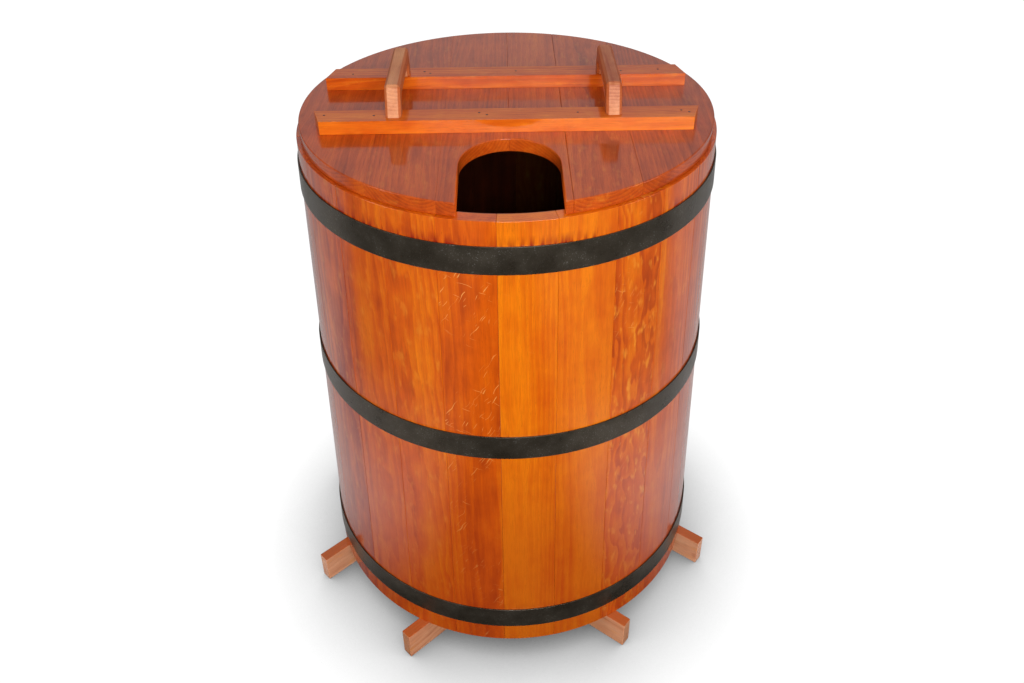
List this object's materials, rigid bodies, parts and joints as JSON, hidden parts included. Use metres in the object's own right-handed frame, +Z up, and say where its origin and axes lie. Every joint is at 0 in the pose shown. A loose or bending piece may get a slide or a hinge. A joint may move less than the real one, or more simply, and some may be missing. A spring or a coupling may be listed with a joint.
{
  "type": "lidded stave barrel",
  "caption": "Upright wooden stave barrel bound with steel hoops, on crossed joists, with a loose board lid that has a neck notch at its front edge and bridge handles.",
  "frame": {"origin": "on the ground under the barrel's axis, at the centre of the joists' footprint", "axes": "+Z up along the barrel's axis, -Y towards the lid's notch (the front), +X to the right seen from the front"},
  "size_m": [0.929, 0.8677, 1.2188],
  "materials": {
    "stave_wood": "red-orange stained oak under clear gloss varnish, grain upright, each stave its own tone",
    "hoop_steel": "blackened rolled steel strip, satin",
    "rivet_steel": "blackened steel, satin",
    "floor_wood": "stained oak, thinner varnish",
    "joist_wood": "stained oak under clear gloss varnish, paler end grain",
    "seat_wood": "stained oak under satin varnish",
    "lid_wood": "stained oak boards under clear gloss varnish, grain front to back",
    "batten_wood": "stained oak under clear gloss varnish, grain along the batten",
    "handle_wood": "stained oak under clear gloss varnish, ribbed end grain on the ends",
    "screw_steel": "plain bright steel"
  },
  "bodies": {
    "barrel": {"joist_left_1": "joist_wood", "joist_left_2": "joist_wood", "joist_right_1": "joist_wood", "joist_right_2": "joist_wood", "stave_01": "stave_wood", "stave_02": "stave_wood", "stave_03": "stave_wood", "stave_04": "stave_wood", "stave_05": "stave_wood", "stave_06": "stave_wood", "stave_07": "stave_wood", "stave_08": "stave_wood", "stave_09": "stave_wood", "stave_10": "stave_wood", "stave_11": "stave_wood", "stave_12": "stave_wood", "stave_13": "stave_wood", "stave_14": "stave_wood", "stave_15": "stave_wood", "stave_16": "stave_wood", "stave_17": "stave_wood", "stave_18": "stave_wood", "stave_19": "stave_wood", "stave_20": "stave_wood", "stave_21": "stave_wood", "stave_22": "stave_wood", "stave_23": "stave_wood", "stave_24": "stave_wood", "floor_board_1": "floor_wood", "floor_board_2": "floor_wood", "floor_board_3": "floor_wood", "floor_board_4": "floor_wood", "floor_board_5": "floor_wood", "seat_board_1": "seat_wood", "seat_board_2": "seat_wood", "seat_ledger_left": "seat_wood", "seat_ledger_right": "seat_wood", "hoop_top": "hoop_steel", "hoop_middle": "hoop_steel", "hoop_bottom": "hoop_steel", "rivet_top_1": "rivet_steel", "rivet_top_2": "rivet_steel", "rivet_middle_1": "rivet_steel", "rivet_middle_2": "rivet_steel", "rivet_bottom_1": "rivet_steel", "rivet_bottom_2": "rivet_steel"},
    "lid": {"lid_board_1": "lid_wood", "lid_board_2": "lid_wood", "lid_board_3": "lid_wood", "lid_board_4": "lid_wood", "lid_board_5": "lid_wood", "lid_board_6": "lid_wood", "batten_front": "batten_wood", "batten_rear": "batten_wood", "handle_left": "handle_wood", "handle_right": "handle_wood", "handle_screw_left_front": "screw_steel", "handle_screw_left_rear": "screw_steel", "handle_screw_right_front": "screw_steel", "handle_screw_right_rear": "screw_steel"}
  },
  "joints": [
    {"name": "lid_lift", "type": "slide", "parent": "barrel", "child": "lid", "axis": [0, 0, 1], "range_m": [0, 0.45]}
  ]
}
